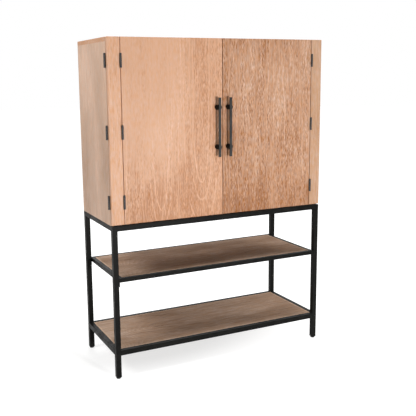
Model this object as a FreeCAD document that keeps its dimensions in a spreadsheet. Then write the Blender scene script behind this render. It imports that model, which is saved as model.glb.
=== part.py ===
import FreeCAD, Part
import math
import os
import re

import Sketcher
from FreeCAD import Placement, Rotation, Vector

"""Bar armoire: a wooden cabinet with two folding sides on an open steel stand with two shelves.

Millimetres, floor at zero, +Z up, the front faces -Y. Every driving size is a cell of the sheet
Sizes; places worked out from them are properties of Places; the pieces are bound to both.
"""

SIZES = {
    # Whole object
    "cabinet_width": 1160,
    "cabinet_depth": 450,
    "cabinet_height": 1610,
    "base_height": 750,
    # Steel stand
    "frame_tube": 25,
    "frame_wall": 1.5,
    "tube_rounding": 1.2,
    "lower_rail_z": 117,
    "lower_rail_tall": 25,
    "middle_rail_z": 478,
    "middle_rail_tall": 20,
    "middle_rail_wide": 20,
    "middle_rail_clearance": 1,
    "shelf_board": 12,
    "shelf_proud": 0,
    "board_clearance": 0.5,
    "lug_tall": 20,
    "lug_long": 14,
    "lug_proud": 4,
    "glide_height": 8,
    "glide_diameter": 24,
    "glide_rounding": 5,
    "glide_plug": 15,
    "plug_clearance": 0.2,
    # Welded tabs and their screws
    "tab_long": 30,
    "tab_reach": 20,
    "tab_thickness": 3,
    "tab_inset": 150,
    "tab_screw_diameter": 4,
    "tab_screw_head": 8,
    "tab_screw_head_tall": 2.4,
    "tab_screw_grip": 8,
    # Cabinet boards
    "side_board": 20,
    "top_board": 20,
    "bottom_board": 20,
    "back_board": 6,
    "back_rabbet": 8,
    # Fittings inside
    "shelf_setback": 12,
    "bar_shelf_z": 1130,
    "bar_shelf_board": 20,
    "divider_board": 18,
    "loose_shelf_z": 950,
    "loose_shelf_board": 18,
    "loose_shelf_clearance": 1,
    "peg_diameter": 5,
    "peg_long": 16,
    "peg_depth": 8,
    "peg_inset": 50,
    "peg_pitch": 32,
    "peg_clearance": 0.05,
    "glass_rail_web": 14,
    "glass_rail_flange": 70,
    "glass_rail_flange_board": 9,
    "glass_rail_drop": 34,
    "glass_rail_pitch": 110,
    "glass_rail_setback": 30,
    # Folding fronts
    "door_board": 20,
    "door_gap": 5,
    "fold_panel_width": 60,
    "hinge_gap": 3,
    "centre_gap": 3,
    "edge_easing": 0.8,
    # Butt hinges
    "hinge_tall": 64,
    "hinge_inset": 104.5,
    "knuckle_diameter": 10,
    "knuckle_standoff": 0.5,
    "knuckle_clearance": 0.4,
    "leaf_thickness": 1.2,
    "leaf_wide": 16,
    "hinge_pin": 5,
    "pin_clearance": 0.05,
    "pin_head_tall": 1.5,
    "hinge_screw_spacing": 40,
    "hinge_screw_diameter": 3,
    "hinge_screw_head": 5.6,
    "hinge_screw_long": 14,
    "screw_clearance": 0.1,
    # Handles
    "handle_long": 286,
    "handle_spacing": 192,
    "handle_inset": 30,
    "handle_wide": 12,
    "handle_deep": 10,
    "handle_projection": 32,
    "handle_post": 25,
    "bar_proud": 5,
    "handle_raise": 5,
    "post_fit": 0.1,
    "handle_easing": 0.8,
    "handle_screw_diameter": 4,
    "handle_screw_head": 8,
    "handle_screw_head_tall": 2.2,
    "handle_screw_grip": 12,
    # Magnetic catches
    "catch_wide": 40,
    "catch_tall": 14,
    "catch_deep": 14,
    "catch_x": 60,
    "strike_thickness": 1.2,
    "catch_clearance": 0.3,
    # How far a cutter runs past the face it opens
    "cut_overrun": 1,
}

PLACES = {
    "side_x": "cabinet_width / 2",
    "front_y": "(handle_projection - cabinet_depth) / 2",
    "back_y": "(handle_projection + cabinet_depth) / 2",
    "middle_y": "handle_projection / 2",
    "leg_inner_x": "side_x - frame_tube",
    "ring_x": "side_x - frame_tube - middle_rail_clearance",
    "lower_top_z": "lower_rail_z + lower_rail_tall",
    "middle_top_z": "middle_rail_z + middle_rail_tall",
    "lower_board_z": "lower_top_z + shelf_proud",
    "middle_board_z": "middle_top_z + shelf_proud",
    "door_back_y": "front_y + door_board",
    "carcass_y": "front_y + door_board + hinge_gap",
    "inside_x": "side_x - side_board",
    "inside_back_y": "back_y - back_board",
    "inside_floor_z": "base_height + bottom_board",
    "ceiling_z": "cabinet_height - top_board",
    "bar_shelf_low_z": "bar_shelf_z - bar_shelf_board",
    "fitting_y": "carcass_y + shelf_setback",
    "peg_front_y": "fitting_y + peg_inset",
    "peg_back_y": "inside_back_y - peg_inset",
    "peg_z": "loose_shelf_z - peg_diameter / 2",
    "door_z": "base_height + door_gap",
    "door_middle_z": "(door_z + cabinet_height) / 2",
    "seam_x": "side_x - fold_panel_width - hinge_gap / 2",
    "door_edge_x": "side_x - fold_panel_width - hinge_gap",
    "fold_edge_x": "side_x - fold_panel_width",
    "axis_offset": "knuckle_diameter / 2 + knuckle_standoff",
    "inner_axis_y": "front_y - axis_offset",
    "outer_axis_x": "side_x + axis_offset",
    "outer_axis_y": "carcass_y - hinge_gap / 2",
    "hinge_low_z": "door_z + hinge_inset",
    "hinge_high_z": "cabinet_height - hinge_inset",
    "leaf_face_x": "hinge_gap / 2 - leaf_thickness",
    "leaf_screw_y": "axis_offset + leaf_wide / 2",
    "handle_front_y": "front_y - handle_projection",
    "handle_back_y": "handle_front_y + handle_deep",
    "handle_z": "door_middle_z + handle_raise",
    "post_long": "handle_projection - bar_proud",
    "handle_screw_long": "door_board + handle_screw_grip",
    "strike_y": "door_back_y + strike_thickness",
    "catch_y": "strike_y + catch_clearance",
}

KNUCKLES = 5
GLASS_RAILS = 5
PEG_ROWS = 3

doc = FreeCAD.newDocument("bar_armoire")
sheet = doc.addObject("Spreadsheet::Sheet", "Sizes")
for row, (alias, size) in enumerate(SIZES.items(), start=1):
    sheet.set(f"A{row}", alias)
    sheet.set(f"B{row}", str(size))
    sheet.setAlias(f"B{row}", alias)
doc.recompute()


def bound(formula):
    """A formula in the words of SIZES and PLACES, as an expression of the document."""

    def owned(match):
        word = match.group(0)
        if word in SIZES:
            return "Sizes." + word
        if word in PLACES:
            return "Places." + word
        return word

    return re.sub(r"[a-z][a-z_]*", owned, formula)


place = doc.addObject("App::VarSet", "Places")
for name, formula in PLACES.items():
    place.addProperty("App::PropertyFloat", name)
    place.setExpression(name, bound(formula))
doc.recompute()

pieces = []


def size(alias):
    """The value of one cell of the sheet."""
    return float(sheet.get(alias))


def keep(piece, label):
    """Mark an object as one exported piece."""
    piece.Label = label
    pieces.append(piece)
    return piece


def put(piece, spot, turn=None):
    """Bind a piece's place to three formulas; turn is (axis, degrees)."""
    if turn:
        piece.Placement = Placement(Vector(), Rotation(*turn))
    for axis, formula in zip("xyz", spot):
        piece.setExpression("Placement.Base." + axis, bound(formula))
    return piece


# Boards, cutters and booleans


def board(name, low, high):
    """A rectangular block from its low corner to its high corner."""
    block = doc.addObject("Part::Box", name)
    for prop, start, end in zip(("Length", "Width", "Height"), low, high):
        block.setExpression(prop, bound(f"({end}) - ({start})"))
    return put(block, low)


def eased(name, block, radius):
    """A block with all twelve edges rounded."""
    doc.recompute()
    rounded = doc.addObject("Part::Fillet", name)
    rounded.Base = block
    rounded.Edges = [(edge, radius, radius) for edge in range(1, len(block.Shape.Edges) + 1)]
    return rounded


def rod(name, radius, length, spot, turn=None):
    """A cylinder that stands on its spot."""
    cylinder = doc.addObject("Part::Cylinder", name)
    cylinder.setExpression("Radius", bound(radius))
    cylinder.setExpression("Height", bound(length))
    return put(cylinder, spot, turn)


def copies(name, shape, spots):
    """One object that holds a copy of a shape at each placement."""
    whole = doc.addObject("Part::Feature", name)
    made = []
    for spot in spots:
        copy = shape.copy()
        copy.Placement = spot.multiply(shape.Placement)
        made.append(copy)
    whole.Shape = Part.makeCompound(made)
    return whole


def cut(name, base, *tools):
    """A piece with one or more cutters taken away."""
    for number, tool in enumerate(tools):
        result = doc.addObject("Part::Cut", name if tool is tools[-1] else f"{name}_cut{number}")
        result.Base = base
        result.Tool = tool
        base = result
    return base


# Sketched pieces


def sketch_on(body, name, role):
    """An empty sketch on one of the body's own origin planes."""
    sketch = body.newObject("Sketcher::SketchObject", name)
    plane = [item for item in body.Origin.OriginFeatures if item.Role == role][0]
    sketch.AttachmentSupport = [(plane, "")]
    sketch.MapMode = "FlatFace"
    return sketch


def outline(sketch, corners):
    """Add a closed outline whose corners are pairs of formulas, each bound to the sheet."""
    first = sketch.GeometryCount
    count = len(corners)
    step = 2 * math.pi / count
    ring = [Vector(math.cos(step * turn), math.sin(step * turn), 0) for turn in range(count)]
    for corner in range(count):
        sketch.addGeometry(Part.LineSegment(ring[corner], ring[(corner + 1) % count]), False)
    for corner in range(count):
        after = first + (corner + 1) % count
        sketch.addConstraint(Sketcher.Constraint("Coincident", first + corner, 2, after, 1))
    for corner, pair in enumerate(corners):
        for kind, formula in zip(("DistanceX", "DistanceY"), pair):
            number = sketch.addConstraint(Sketcher.Constraint(kind, -1, 1, first + corner, 1, 1.0))
            sketch.setExpression(f"Constraints[{number}]", bound(formula))


def rectangle(sketch, low, high):
    """Add a rectangle from two corners given as formulas."""
    outline(sketch, [low, (high[0], low[1]), high, (low[0], high[1])])


def padded(body, sketch, length, middle=False):
    """Pad a sketch by a bound length, to one side or about its plane."""
    pad = body.newObject("PartDesign::Pad", body.Name + "_pad")
    pad.Profile = sketch
    pad.setExpression("Length", bound(length))
    pad.Midplane = middle
    doc.recompute()
    return pad


def turned(name, corners):
    """A body of revolution about Z from an outline of (radius, height) formulas."""
    body = doc.addObject("PartDesign::Body", name)
    sketch = sketch_on(body, name + "_profile", "XZ_Plane")
    outline(sketch, corners)
    revolution = body.newObject("PartDesign::Revolution", name + "_turn")
    revolution.Profile = sketch
    revolution.ReferenceAxis = (sketch, ["V_Axis"])
    revolution.Angle = 360
    doc.recompute()
    return body


def round_edges(body, feature, along, near):
    """Round the long outer edges of a tube: those along one axis that near() picks."""
    names = []
    for number, edge in enumerate(feature.Shape.Edges, start=1):
        ends = [vertex.Point for vertex in edge.Vertexes]
        if len(ends) == 2 and abs((ends[1] - ends[0]).normalize().dot(along)) > math.cos(math.radians(1)):
            if near(edge.CenterOfMass):
                names.append(f"Edge{number}")
    fillet = body.newObject("PartDesign::Fillet", body.Name + "_rounding")
    fillet.Base = (feature, names)
    fillet.setExpression("Radius", bound("tube_rounding"))
    doc.recompute()


def corner_test(wide, tall, first, second):
    """A test for points on the outer corners of a wide by tall section."""
    slack = size("frame_wall") / 2

    def on_corner(point):
        across = getattr(point, first)
        up = getattr(point, second)
        on_side = min(abs(across), abs(across - wide)) < slack
        return on_side and min(abs(up), abs(up - tall)) < slack

    return on_corner


def tube(label, wide, tall, length, spot, turn=None):
    """A straight rectangular tube along its own Z, from the corner of its section."""
    body = doc.addObject("PartDesign::Body", label)
    sketch = sketch_on(body, label + "_section", "XY_Plane")
    rectangle(sketch, ("0", "0"), (wide, tall))
    rectangle(sketch, ("frame_wall", "frame_wall"), (f"{wide} - frame_wall", f"{tall} - frame_wall"))
    pad = padded(body, sketch, length)
    round_edges(body, pad, Vector(0, 0, 1), corner_test(size(wide), size(tall), "x", "y"))
    return keep(put(body, spot, turn), label)


def mitred_tube(label, half, wide, tall, spot, turn):
    """A tube with both ends mitred, along its own X, outer side at y zero."""
    body = doc.addObject("PartDesign::Body", label)
    sketch = sketch_on(body, label + "_plan", "XY_Plane")
    corners = [(f"-({half})", "0"), (half, "0"), (f"{half} - {wide}", wide), (f"{wide} - ({half})", wide)]
    outline(sketch, corners)
    padded(body, sketch, tall)
    bore = sketch_on(body, label + "_bore", "YZ_Plane")
    rectangle(bore, ("frame_wall", "frame_wall"), (f"{wide} - frame_wall", f"{tall} - frame_wall"))
    pocket = body.newObject("PartDesign::Pocket", label + "_hollow")
    pocket.Profile = bore
    pocket.Type = 1
    pocket.Midplane = True
    doc.recompute()
    round_edges(body, pocket, Vector(1, 0, 0), corner_test(size(wide), size(tall), "y", "z"))
    return keep(put(body, spot, turn), label)


UP = Vector(0, 0, 1)
RIGHT = Vector(1, 0, 0)
BACK = Vector(0, 1, 0)

# Steel stand

LEGS = {
    "front_left": ("-side_x", "front_y"),
    "front_right": ("leg_inner_x", "front_y"),
    "back_left": ("-side_x", "back_y - frame_tube"),
    "back_right": ("leg_inner_x", "back_y - frame_tube"),
}
for corner, (across, deep) in LEGS.items():
    leg_long = "base_height - frame_tube - glide_height"
    tube("leg_" + corner, "frame_tube", "frame_tube", leg_long, (across, deep, "glide_height"))


def mitred_ring(prefix, half_wide, wide, tall, low_z):
    """Four mitred tubes that make a closed ring over the full depth."""
    half_deep = "cabinet_depth / 2"
    mitred_tube(prefix + "_front", half_wide, wide, tall, ("0", "front_y", low_z), (UP, 0))
    mitred_tube(prefix + "_back", half_wide, wide, tall, ("0", "back_y", low_z), (UP, 180))
    mitred_tube(prefix + "_left", half_deep, wide, tall, (f"-{half_wide}", "middle_y", low_z), (UP, -90))
    mitred_tube(prefix + "_right", half_deep, wide, tall, (half_wide, "middle_y", low_z), (UP, 90))


mitred_ring("top_rail", "side_x", "frame_tube", "frame_tube", "base_height - frame_tube")
mitred_ring("middle_rail", "ring_x", "middle_rail_wide", "middle_rail_tall", "middle_rail_z")

long_rail = "2 * leg_inner_x"
deep_rail = "cabinet_depth - 2 * frame_tube"
front_spot = ("-leg_inner_x", "front_y", "lower_top_z")
back_spot = ("-leg_inner_x", "back_y - frame_tube", "lower_top_z")
left_spot = ("-side_x", "front_y + frame_tube", "lower_top_z")
right_spot = ("leg_inner_x", "front_y + frame_tube", "lower_top_z")
tube("lower_rail_front", "lower_rail_tall", "frame_tube", long_rail, front_spot, (BACK, 90))
tube("lower_rail_back", "lower_rail_tall", "frame_tube", long_rail, back_spot, (BACK, 90))
tube("lower_rail_left", "frame_tube", "lower_rail_tall", deep_rail, left_spot, (RIGHT, -90))
tube("lower_rail_right", "frame_tube", "lower_rail_tall", deep_rail, right_spot, (RIGHT, -90))

foot = turned(
    "glide_master",
    [
        ("0", "0"),
        ("glide_diameter / 2", "0"),
        ("glide_diameter / 2", "glide_height"),
        ("frame_tube / 2 - frame_wall - plug_clearance", "glide_height"),
        ("frame_tube / 2 - frame_wall - plug_clearance", "glide_height + glide_plug"),
        ("0", "glide_height + glide_plug"),
    ],
)
rims = []
blank = foot.Tip
for number, edge in enumerate(blank.Shape.Edges, start=1):
    if edge.BoundBox.ZMax < size("glide_height") / 2 and len(edge.Vertexes) == 1:
        rims.append(f"Edge{number}")
sole = foot.newObject("PartDesign::Fillet", "glide_sole")
sole.Base = (blank, rims)
sole.setExpression("Radius", bound("glide_rounding"))
doc.recompute()
glide_x = place.side_x - size("frame_tube") / 2
glide_front = place.front_y + size("frame_tube") / 2
glide_back = place.back_y - size("frame_tube") / 2
glide_spots = []
for across in (-glide_x, glide_x):
    for deep in (glide_front, glide_back):
        glide_spots.append(Placement(Vector(across, deep, 0), Rotation()))
keep(copies("foot_glides", foot.Shape, glide_spots), "foot_glides")

lug_low = "middle_rail_z - lug_tall"
lugs = []
for deep in ("front_y", "back_y - lug_long"):
    lug_deep = f"{deep} + lug_long"
    for near in ("-leg_inner_x", "leg_inner_x - lug_proud"):
        far = f"{near} + lug_proud"
        lugs.append(board("lug", (near, deep, lug_low), (far, lug_deep, "middle_rail_z")))
lug_set = doc.addObject("Part::Compound", "middle_shelf_lugs")
lug_set.Links = lugs
keep(lug_set, "middle_shelf_lugs")

# Screws, each with its seat at z zero and its shank along -Z


def pan_screw(name, shank, head, head_tall, length, grow):
    """A pan-head screw; grow makes the same outline larger for its hole."""
    return turned(
        name,
        [
            ("0", f"-({length}) - {grow}"),
            (f"{shank} / 2 + {grow}", f"-({length}) - {grow}"),
            (f"{shank} / 2 + {grow}", "0"),
            (f"{head} / 2 + {grow}", "0"),
            (f"{head} / 2 + {grow}", f"{head_tall}"),
            ("0", f"{head_tall}"),
        ],
    )


def flush_screw(name, grow, rise):
    """A countersunk screw whose head is as tall as a hinge leaf is thick."""
    return turned(
        name,
        [
            ("0", f"-hinge_screw_long - {grow}"),
            (f"hinge_screw_diameter / 2 + {grow}", f"-hinge_screw_long - {grow}"),
            (f"hinge_screw_diameter / 2 + {grow}", "-leaf_thickness"),
            (f"hinge_screw_head / 2 + {grow}", "0"),
            (f"hinge_screw_head / 2 + {grow}", rise),
            ("0", rise),
        ],
    )


tab_long = "tab_thickness + tab_screw_grip"
tab_names = ("tab_screw_diameter", "tab_screw_head", "tab_screw_head_tall", tab_long)
tab_screw = pan_screw("tab_screw_master", *tab_names, "0")
tab_hole = pan_screw("tab_hole_master", *tab_names, "screw_clearance")
handle_names = ("handle_screw_diameter", "handle_screw_head", "handle_screw_head_tall", "handle_screw_long")
handle_screw = pan_screw("handle_screw_master", *handle_names, "0")
handle_hole = pan_screw("handle_hole_master", *handle_names, "screw_clearance")
hinge_screw = flush_screw("hinge_screw_master", "0", "hinge_screw_diameter / 100")
hinge_hole = flush_screw("hinge_hole_master", "screw_clearance", "cut_overrun")

# Tabs that carry the two shelf boards and the cabinet

tab_spots = []
for under, half_wide, rail in (
    (place.lower_board_z - size("shelf_board"), place.leg_inner_x, size("frame_tube")),
    (place.middle_board_z - size("shelf_board"), place.ring_x, size("middle_rail_wide")),
    (size("base_height"), place.leg_inner_x, size("frame_tube")),
):
    reach = half_wide - size("tab_inset")
    for across in (-reach, 0, reach):
        tab_spots.append(Placement(Vector(across, place.front_y + rail, under), Rotation()))
        tab_spots.append(Placement(Vector(across, place.back_y - rail, under), Rotation(UP, 180)))
tab_plate = board("tab_plate", ("-tab_long / 2", "0", "-tab_thickness"), ("tab_long / 2", "tab_reach", "0"))
seat = Vector(0, size("tab_reach") / 2, -size("tab_thickness"))
tab_seat = Placement(seat, Rotation(RIGHT, 180))
tab_drilled = cut("tab_master", tab_plate, copies("tab_bore", tab_hole.Shape, [tab_seat]))
doc.recompute()
keep(copies("support_tabs", tab_drilled.Shape, tab_spots), "support_tabs")
screw_spots = [spot.multiply(tab_seat) for spot in tab_spots]
keep(copies("tab_screws", tab_screw.Shape, screw_spots), "tab_screws")


def screwed_board(label, low, high, spots):
    """A board with the screw holes of its tabs."""
    blank = board(label + "_blank", low, high)
    return keep(cut(label, blank, copies(label + "_holes", tab_hole.Shape, spots)), label)


board_low_y = "front_y + {0} + board_clearance"
board_high_y = "back_y - {0} - board_clearance"
lower_x = "leg_inner_x - board_clearance"
middle_x = "ring_x - middle_rail_wide - board_clearance"
screwed_board(
    "lower_shelf_board",
    (f"-({lower_x})", board_low_y.format("frame_tube"), "lower_board_z - shelf_board"),
    (lower_x, board_high_y.format("frame_tube"), "lower_board_z"),
    screw_spots[:6],
)
screwed_board(
    "middle_shelf_board",
    (f"-({middle_x})", board_low_y.format("middle_rail_wide"), "middle_board_z - shelf_board"),
    (middle_x, board_high_y.format("middle_rail_wide"), "middle_board_z"),
    screw_spots[6:12],
)

# Hinge places, screws and pegs that drill the cabinet boards

hinge_heights = (place.hinge_low_z, place.door_middle_z, place.hinge_high_z)
flip = Rotation(BACK, 180)
HINGES = {
    "left_inner": (-place.seam_x, place.inner_axis_y, Rotation()),
    "right_inner": (place.seam_x, place.inner_axis_y, flip),
    "left_outer": (-place.outer_axis_x, place.outer_axis_y, Rotation(UP, -90)),
    "right_outer": (place.outer_axis_x, place.outer_axis_y, Rotation(UP, 90).multiply(flip)),
}


def hinge_spots(line):
    """The three placements of one line of hinges."""
    across, deep, turn = HINGES[line]
    return [Placement(Vector(across, deep, up), turn) for up in hinge_heights]


def leaf_screw_spots(hand):
    """The screws of one leaf, in the hinge's own frame; hand is -1 or 1."""
    spots = []
    for up in (-size("hinge_screw_spacing") / 2, size("hinge_screw_spacing") / 2):
        head = Vector(hand * place.leaf_face_x, place.leaf_screw_y, up)
        spots.append(Placement(head, Rotation(BACK, -90 * hand)))
    return spots


def line_screw_spots(line, hand):
    """The screws of all leaves on one side of a hinge line, in the object's frame."""
    return [hinge.multiply(spot) for hinge in hinge_spots(line) for spot in leaf_screw_spots(hand)]


def leaf(name, hand, own):
    """One hinge leaf: a plate, its knuckles, and room for the other leaf's knuckles."""
    if hand < 0:
        low_x, high_x = "-hinge_gap / 2", "-leaf_face_x"
    else:
        low_x, high_x = "leaf_face_x", "hinge_gap / 2"
    low = (low_x, "0", "-hinge_tall / 2")
    high = (high_x, "axis_offset + leaf_wide", "hinge_tall / 2")
    body = [board(name + "_plate", low, high)]
    rooms = []
    for number in range(KNUCKLES):
        start = f"hinge_tall * {number} / {KNUCKLES} - hinge_tall / 2"
        if number in own:
            spot = ("0", "0", f"{start} + knuckle_clearance / 2")
            body.append(rod(name + "_knuckle", "knuckle_diameter / 2",
                            f"hinge_tall / {KNUCKLES} - knuckle_clearance", spot))
        else:
            rooms.append(rod(name + "_room", "knuckle_diameter / 2 + knuckle_clearance",
                             f"hinge_tall / {KNUCKLES}", ("0", "0", start)))
    whole = doc.addObject("Part::MultiFuse", name + "_whole")
    whole.Shapes = body
    free = doc.addObject("Part::Compound", name + "_rooms")
    free.Links = rooms
    bore = rod(name + "_bore", "hinge_pin / 2 + pin_clearance", "hinge_tall", ("0", "0", "-hinge_tall / 2"))
    made = cut(name, whole, free, bore, copies(name + "_seats", hinge_hole.Shape, leaf_screw_spots(hand)))
    doc.recompute()
    return made.Shape


fixed_leaf = leaf("fixed_leaf_master", -1, (0, 2, 4))
swing_leaf = leaf("swing_leaf_master", 1, (1, 3))
pin = turned(
    "hinge_pin_master",
    [
        ("0", "-hinge_tall / 2"),
        ("hinge_pin / 2", "-hinge_tall / 2"),
        ("hinge_pin / 2", "hinge_tall / 2"),
        ("knuckle_diameter / 2", "hinge_tall / 2"),
        ("hinge_pin / 2", "hinge_tall / 2 + pin_head_tall"),
        ("0", "hinge_tall / 2 + pin_head_tall"),
    ],
).Shape
outer_hinges = hinge_spots("left_outer") + hinge_spots("right_outer")
upright = [Placement(spot.Base, Rotation()) for spot in outer_hinges]
outer_screws = line_screw_spots("left_outer", -1) + line_screw_spots("right_outer", -1)
keep(copies("outer_hinge_cabinet_leaves", fixed_leaf, outer_hinges), "outer_hinge_cabinet_leaves")
keep(copies("outer_hinge_pins", pin, upright), "outer_hinge_pins")
keep(copies("outer_hinge_cabinet_screws", hinge_screw.Shape, outer_screws), "outer_hinge_cabinet_screws")

peg_spots = []
hole_spots = []
for deep in (place.peg_front_y, place.peg_back_y):
    for across, angle in ((size("divider_board") / 2, -90), (place.inside_x, 90)):
        for row in range(PEG_ROWS):
            up = place.peg_z + (row - PEG_ROWS // 2) * size("peg_pitch")
            spot = Placement(Vector(across, deep, up), Rotation(BACK, angle))
            hole_spots.append(spot)
            if row == PEG_ROWS // 2:
                peg_spots.append(spot)
peg = rod("peg_master", "peg_diameter / 2", "peg_long", ("0", "0", "peg_depth - peg_long"))
bore_long = "peg_depth + cut_overrun"
peg_hole = rod("peg_hole_master", "peg_diameter / 2 + peg_clearance", bore_long, ("0", "0", "-cut_overrun"))
doc.recompute()
keep(copies("shelf_pegs", peg.Shape, peg_spots), "shelf_pegs")

# Cabinet boards

rabbet_low = "inside_back_y"
for hand, low_x, high_x, in_low, in_high, line in (
    ("left", "-side_x", "-inside_x", "-inside_x - back_rabbet", "cut_overrun - inside_x", "left_outer"),
    ("right", "inside_x", "side_x", "inside_x - cut_overrun", "inside_x + back_rabbet", "right_outer"),
):
    label = f"{hand}_side"
    blank = board(label + "_blank", (low_x, "carcass_y", "base_height"), (high_x, "back_y", "ceiling_z"))
    groove = board(label + "_rabbet", (in_low, rabbet_low, "base_height - cut_overrun"),
                   (in_high, "back_y + cut_overrun", "ceiling_z + cut_overrun"))
    drills = [groove, copies(label + "_hinge_holes", hinge_hole.Shape, line_screw_spots(line, -1))]
    if hand == "right":
        drills.append(copies(label + "_peg_holes", peg_hole.Shape, hole_spots))
    keep(cut(label, blank, *drills), label)

keep(board("top", ("-side_x", "carcass_y", "ceiling_z"), ("side_x", "back_y", "cabinet_height")), "top")
screwed_board(
    "bottom",
    ("-inside_x", "carcass_y", "base_height"),
    ("inside_x", "inside_back_y", "inside_floor_z"),
    screw_spots[12:],
)
keep(
    board(
        "back",
        ("-inside_x - back_rabbet + board_clearance", "inside_back_y", "base_height"),
        ("inside_x + back_rabbet - board_clearance", "back_y", "ceiling_z"),
    ),
    "back",
)
keep(
    board(
        "bar_shelf",
        ("-inside_x", "fitting_y", "bar_shelf_low_z"),
        ("inside_x", "inside_back_y", "bar_shelf_z"),
    ),
    "bar_shelf",
)
divider = board(
    "divider_blank",
    ("-divider_board / 2", "fitting_y", "inside_floor_z"),
    ("divider_board / 2", "inside_back_y", "bar_shelf_low_z"),
)
keep(cut("divider", divider, copies("divider_peg_holes", peg_hole.Shape, hole_spots)), "divider")
keep(
    board(
        "loose_shelf",
        ("divider_board / 2 + loose_shelf_clearance", "fitting_y", "loose_shelf_z"),
        (
            "inside_x - loose_shelf_clearance",
            "inside_back_y - loose_shelf_clearance",
            "loose_shelf_z + loose_shelf_board",
        ),
    ),
    "loose_shelf",
)

rail = doc.addObject("PartDesign::Body", "glass_rail_master")
rail_sketch = sketch_on(rail, "glass_rail_section", "XZ_Plane")
flange_top = "glass_rail_flange_board - glass_rail_drop"
outline(
    rail_sketch,
    [
        ("-glass_rail_flange / 2", "-glass_rail_drop"),
        ("glass_rail_flange / 2", "-glass_rail_drop"),
        ("glass_rail_flange / 2", flange_top),
        ("glass_rail_web / 2", flange_top),
        ("glass_rail_web / 2", "0"),
        ("-glass_rail_web / 2", "0"),
        ("-glass_rail_web / 2", flange_top),
        ("-glass_rail_flange / 2", flange_top),
    ],
)
padded(rail, rail_sketch, "inside_back_y - carcass_y - 2 * glass_rail_setback", True)
rail_spots = []
for number in range(GLASS_RAILS):
    across = (number - (GLASS_RAILS - 1) / 2) * size("glass_rail_pitch")
    deep = (place.carcass_y + place.inside_back_y) / 2
    rail_spots.append(Placement(Vector(across, deep, place.ceiling_z), Rotation()))
keep(copies("stemware_rails", rail.Shape, rail_spots), "stemware_rails")

catches = []
for across in ("catch_x", "-catch_x"):
    low = (f"{across} - catch_wide / 2", "catch_y", "ceiling_z - catch_tall")
    high = (f"{across} + catch_wide / 2", "catch_y + catch_deep", "ceiling_z")
    catches.append(board("catch", low, high))
catch_set = doc.addObject("Part::Compound", "magnetic_catches")
catch_set.Links = catches
keep(catch_set, "magnetic_catches")

# Folding fronts, hinges and handles of both sides

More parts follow.
